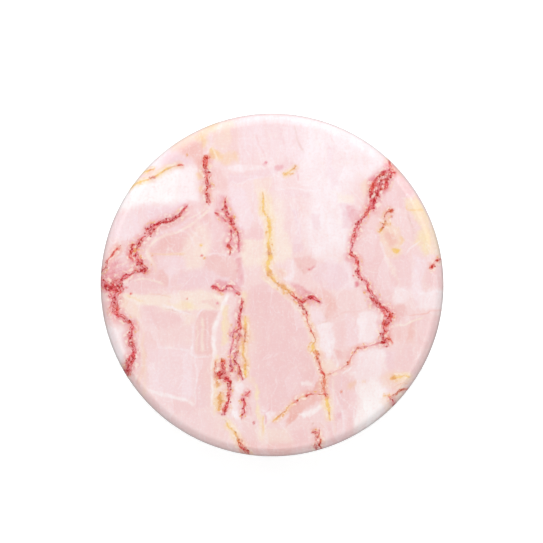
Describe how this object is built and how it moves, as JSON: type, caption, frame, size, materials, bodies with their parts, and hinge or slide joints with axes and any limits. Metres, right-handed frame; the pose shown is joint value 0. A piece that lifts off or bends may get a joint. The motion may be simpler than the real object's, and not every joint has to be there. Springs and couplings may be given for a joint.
{
  "type": "collapsible phone grip",
  "caption": "Round printed top on a two-stage bellows that pops out of a stick-on base, to hold or prop up a phone.",
  "frame": {"origin": "centre of the gel pad's sticky face, where it meets the phone", "axes": "+Z along the grip's axis, away from the phone towards the printed face; X and Y are free, and the lock's slot lies along X"},
  "size_m": [0.0398, 0.0398, 0.0239],
  "materials": {
    "printed_face": "glossy clear coat over a pink marble print",
    "top_plastic": "smooth moulded polycarbonate",
    "carrier_plastic": "fine moulded texture",
    "collar_plastic": "natural acetal, satin",
    "bellows_elastomer": "satin thermoplastic elastomer",
    "base_plastic": "semi-gloss moulded polycarbonate",
    "pad_carrier_film": "thin translucent film",
    "gel": "tacky smooth gel"
  },
  "bodies": {
    "base": {"base_plate": "base_plastic", "base_bezel": "base_plastic", "bellows_foot": "bellows_elastomer", "bellows_lower_fold": "bellows_elastomer", "pad_film": "pad_carrier_film", "gel_pad": "gel"},
    "middle": {"bellows_middle_ring": "bellows_elastomer", "bellows_upper_fold": "bellows_elastomer"},
    "neck": {"bellows_neck": "bellows_elastomer", "lock_collar": "collar_plastic"},
    "top": {"printed_film": "printed_face", "top_shell": "top_plastic", "top_carrier": "carrier_plastic"}
  },
  "joints": [
    {"name": "lower_stage", "type": "slide", "parent": "base", "child": "middle", "axis": [0, 0, 1], "range_m": [-0.0083, 0], "deforming": ["bellows_lower_fold"]},
    {"name": "upper_stage", "type": "slide", "parent": "middle", "child": "neck", "axis": [0, 0, 1], "range_m": [-0.0083, 0], "deforming": ["bellows_upper_fold"]},
    {"name": "top_turn", "type": "hinge", "parent": "neck", "child": "top", "pos_m": [0, 0, 0.0222], "axis": [0, 0, 1], "range_deg": [0, 90]}
  ]
}
